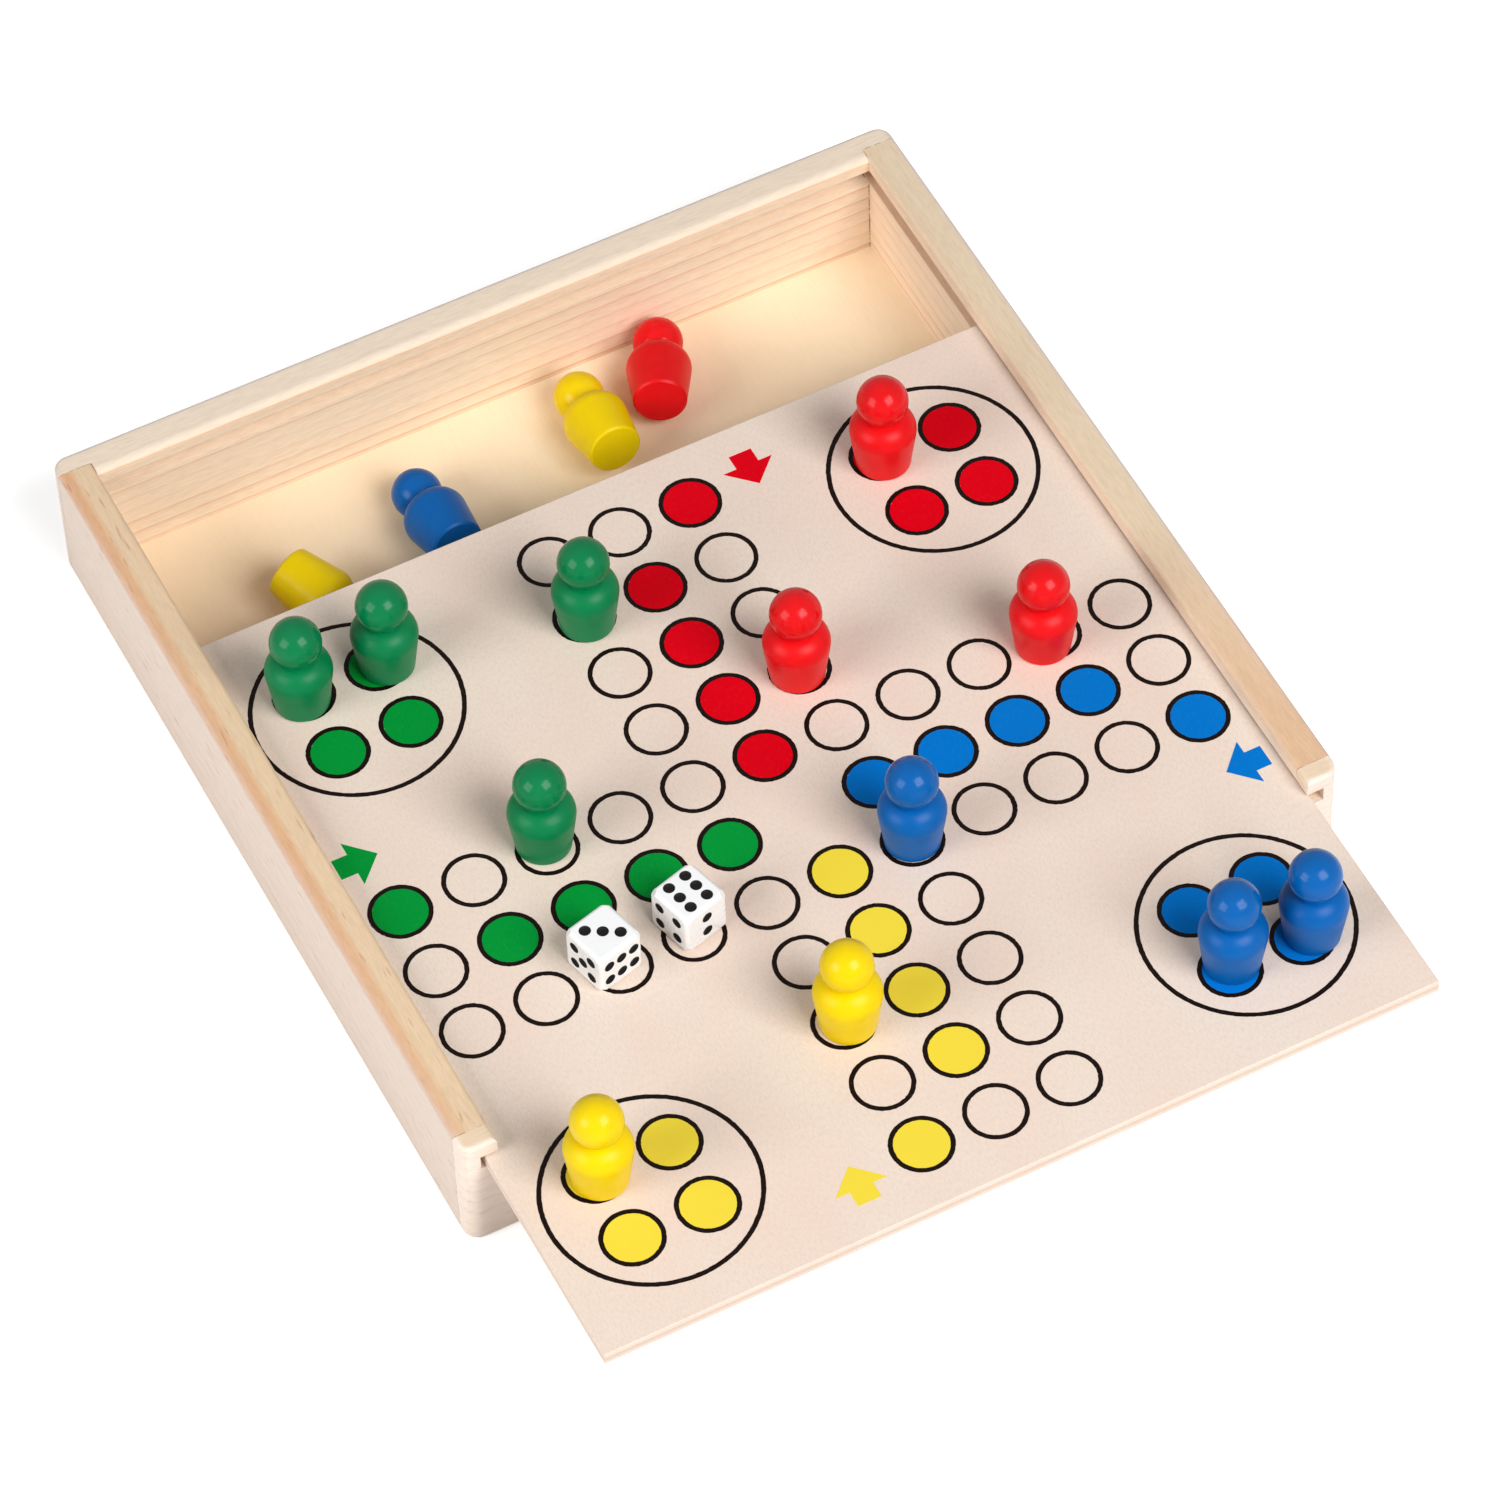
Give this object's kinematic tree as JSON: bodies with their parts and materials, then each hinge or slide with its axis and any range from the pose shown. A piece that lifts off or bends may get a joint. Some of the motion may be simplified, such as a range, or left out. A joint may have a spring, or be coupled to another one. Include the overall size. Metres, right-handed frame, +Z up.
{
  "type": "wooden ludo box with a sliding board lid",
  "caption": "Shallow square wooden game box whose sliding plywood lid is a printed ludo board, with turned peg pawns and dice.",
  "frame": {"origin": "centre of the box's underside, without the lid that is drawn out in front", "axes": "+X to the right, +Y to the back, +Z up; the lid is drawn out towards -Y"},
  "size_m": [0.18, 0.2273, 0.048],
  "materials": {
    "pine": "sanded, unpainted",
    "plywood": "sanded, unpainted",
    "birch": "sanded plywood with a printed board",
    "green_paint": "glossy paint over turned wood",
    "red_paint": "glossy paint over turned wood",
    "blue_paint": "glossy paint over turned wood",
    "yellow_paint": "glossy paint over turned wood",
    "white_plastic": "moulded, satin gloss"
  },
  "bodies": {
    "box": {"left_wall": "pine", "right_wall": "pine", "back_wall": "pine", "front_wall": "pine", "bottom_panel": "plywood"},
    "lid": {"lid_board": "birch"},
    "pawn_green_1": {"pawn_green_1": "green_paint"},
    "pawn_green_2": {"pawn_green_2": "green_paint"},
    "pawn_green_3": {"pawn_green_3": "green_paint"},
    "pawn_green_4": {"pawn_green_4": "green_paint"},
    "pawn_red_1": {"pawn_red_1": "red_paint"},
    "pawn_red_2": {"pawn_red_2": "red_paint"},
    "pawn_red_3": {"pawn_red_3": "red_paint"},
    "pawn_red_4": {"pawn_red_4": "red_paint"},
    "pawn_blue_1": {"pawn_blue_1": "blue_paint"},
    "pawn_blue_2": {"pawn_blue_2": "blue_paint"},
    "pawn_blue_3": {"pawn_blue_3": "blue_paint"},
    "pawn_blue_4": {"pawn_blue_4": "blue_paint"},
    "pawn_yellow_1": {"pawn_yellow_1": "yellow_paint"},
    "pawn_yellow_2": {"pawn_yellow_2": "yellow_paint"},
    "pawn_yellow_3": {"pawn_yellow_3": "yellow_paint"},
    "pawn_yellow_4": {"pawn_yellow_4": "yellow_paint"},
    "die_1": {"die_1": "white_plastic"},
    "die_2": {"die_2": "white_plastic"}
  },
  "joints": [
    {"name": "lid_slide", "type": "slide", "parent": "box", "child": "lid", "axis": [0, -1, 0], "range_m": [-0.0473, 0.13]},
    {"name": "pawn_green_1_lift", "type": "slide", "parent": "lid", "child": "pawn_green_1", "axis": [0, 0, 1], "range_m": [0, 0.04]},
    {"name": "pawn_green_2_lift", "type": "slide", "parent": "lid", "child": "pawn_green_2", "axis": [0, 0, 1], "range_m": [0, 0.04]},
    {"name": "pawn_green_3_lift", "type": "slide", "parent": "lid", "child": "pawn_green_3", "axis": [0, 0, 1], "range_m": [0, 0.04]},
    {"name": "pawn_green_4_lift", "type": "slide", "parent": "lid", "child": "pawn_green_4", "axis": [0, 0, 1], "range_m": [0, 0.04]},
    {"name": "pawn_red_1_lift", "type": "slide", "parent": "lid", "child": "pawn_red_1", "axis": [0, 0, 1], "range_m": [0, 0.04]},
    {"name": "pawn_red_2_lift", "type": "slide", "parent": "lid", "child": "pawn_red_2", "axis": [0, 0, 1], "range_m": [0, 0.04]},
    {"name": "pawn_red_3_lift", "type": "slide", "parent": "lid", "child": "pawn_red_3", "axis": [0, 0, 1], "range_m": [0, 0.04]},
    {"name": "pawn_red_4_lift", "type": "slide", "parent": "box", "child": "pawn_red_4", "axis": [0, 0, 1], "range_m": [0, 0.04]},
    {"name": "pawn_blue_1_lift", "type": "slide", "parent": "lid", "child": "pawn_blue_1", "axis": [0, 0, 1], "range_m": [0, 0.04]},
    {"name": "pawn_blue_2_lift", "type": "slide", "parent": "lid", "child": "pawn_blue_2", "axis": [0, 0, 1], "range_m": [0, 0.04]},
    {"name": "pawn_blue_3_lift", "type": "slide", "parent": "lid", "child": "pawn_blue_3", "axis": [0, 0, 1], "range_m": [0, 0.04]},
    {"name": "pawn_blue_4_lift", "type": "slide", "parent": "box", "child": "pawn_blue_4", "axis": [0, 0, 1], "range_m": [0, 0.04]},
    {"name": "pawn_yellow_1_lift", "type": "slide", "parent": "lid", "child": "pawn_yellow_1", "axis": [0, 0, 1], "range_m": [0, 0.04]},
    {"name": "pawn_yellow_2_lift", "type": "slide", "parent": "lid", "child": "pawn_yellow_2", "axis": [0, 0, 1], "range_m": [0, 0.04]},
    {"name": "pawn_yellow_3_lift", "type": "slide", "parent": "box", "child": "pawn_yellow_3", "axis": [0, 0, 1], "range_m": [0, 0.04]},
    {"name": "pawn_yellow_4_lift", "type": "slide", "parent": "box", "child": "pawn_yellow_4", "axis": [0, 0.2425, 0.9701], "range_m": [0, 0.036]},
    {"name": "die_1_lift", "type": "slide", "parent": "lid", "child": "die_1", "axis": [0, 0, 1], "range_m": [0, 0.04]},
    {"name": "die_2_lift", "type": "slide", "parent": "lid", "child": "die_2", "axis": [0, 0, 1], "range_m": [0, 0.04]}
  ]
}
